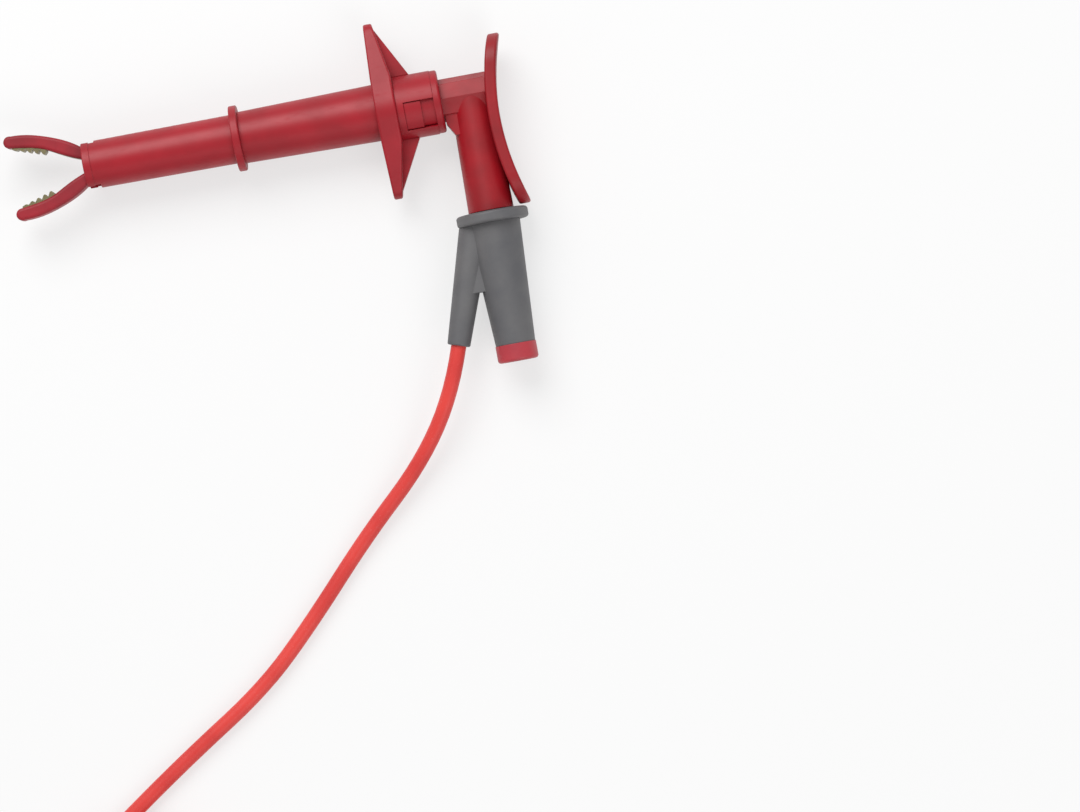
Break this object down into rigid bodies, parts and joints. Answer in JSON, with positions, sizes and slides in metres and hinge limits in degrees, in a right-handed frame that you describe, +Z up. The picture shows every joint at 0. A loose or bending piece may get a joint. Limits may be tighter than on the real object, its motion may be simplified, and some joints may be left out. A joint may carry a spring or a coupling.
{
  "type": "crocodile clip",
  "caption": "Insulated plunger-operated test clip with two toothed jaws, finger guard, thumb rest and a right-angle safety socket holding a stackable plug on a coiled lead.",
  "frame": {"origin": "on the table, under the middle of the bounding box of the clip and the plug in its elbow", "axes": "+X along the barrel from the jaws to the thumb rest, +Y from the safety socket to the upper end of the thumb rest, +Z up from the table"},
  "size_m": [0.1609, 0.2831, 0.0188],
  "materials": {
    "clip_red": "moulded polyamide, satin",
    "plunger_red": "moulded polyamide, satin",
    "jaw_red": "moulded polyamide over the contacts",
    "plug_grey": "moulded grey plastic",
    "ring_red": "red ring",
    "inner_plastic": "inner insulator",
    "brass": "nickel-free brass",
    "jaw_metal": "copper alloy, tarnished",
    "steel": "spring steel",
    "bush_white": "acetal",
    "silicone": "silicone lead"
  },
  "bodies": {
    "barrel": {"front_barrel": "clip_red", "rear_barrel": "clip_red", "finger_guard": "clip_red", "rear_cap": "clip_red", "spring_seat": "steel", "return_spring": "steel"},
    "plunger": {"plunger": "plunger_red", "thumb_rest": "plunger_red", "contact_rod": "brass", "jaw_carrier": "brass", "guide_bush": "bush_white", "jaw_pivot_pin": "steel", "jaw_spreader": "steel", "socket_insulator": "inner_plastic", "socket_contact": "brass", "contact_screw": "steel"},
    "upper_jaw": {"upper_jaw_cover": "jaw_red", "upper_jaw_contact": "jaw_metal"},
    "lower_jaw": {"lower_jaw_cover": "jaw_red", "lower_jaw_contact": "jaw_metal"},
    "plug": {"plug_flange": "plug_grey", "plug_body": "plug_grey", "plug_end_ring": "ring_red", "plug_pin": "brass", "plug_lantern_spring": "brass", "plug_rear_contact": "brass", "plug_rear_insulator": "inner_plastic", "lead_cord": "silicone", "lead_coil": "silicone", "lead_tail": "silicone", "far_plug_flange": "plug_grey", "far_plug_body": "plug_grey", "far_plug_end_ring": "ring_red", "far_plug_pin": "brass", "far_plug_lantern_spring": "brass", "far_plug_rear_contact": "brass", "far_plug_rear_insulator": "inner_plastic"}
  },
  "joints": [
    {"name": "plunger_slide", "type": "slide", "parent": "barrel", "child": "plunger", "axis": [1, 0, 0], "range_m": [0, 0.01], "stiffness_N_per_m": 535, "springref_m": 0.017, "deforming": ["return_spring"]},
    {"name": "upper_jaw_turn", "type": "hinge", "parent": "plunger", "child": "upper_jaw", "pos_m": [-0.04129, 0.02345, 0.0094], "axis": [0, 0, 1], "range_deg": [0, 17.7], "deforming": ["jaw_spreader"]},
    {"name": "lower_jaw_turn", "type": "hinge", "parent": "plunger", "child": "lower_jaw", "pos_m": [-0.04129, 0.02345, 0.0094], "axis": [0, 0, 1], "range_deg": [-17.7, 0], "deforming": ["jaw_spreader"]},
    {"name": "plug_pull", "type": "slide", "parent": "plunger", "child": "plug", "axis": [0, -1, 0], "range_m": [0, 0.024]}
  ],
  "couplings": [
    {"joint": "upper_jaw_turn", "follows": "plunger_slide", "rad_per_m": 30.718},
    {"joint": "lower_jaw_turn", "follows": "plunger_slide", "rad_per_m": -30.718}
  ]
}
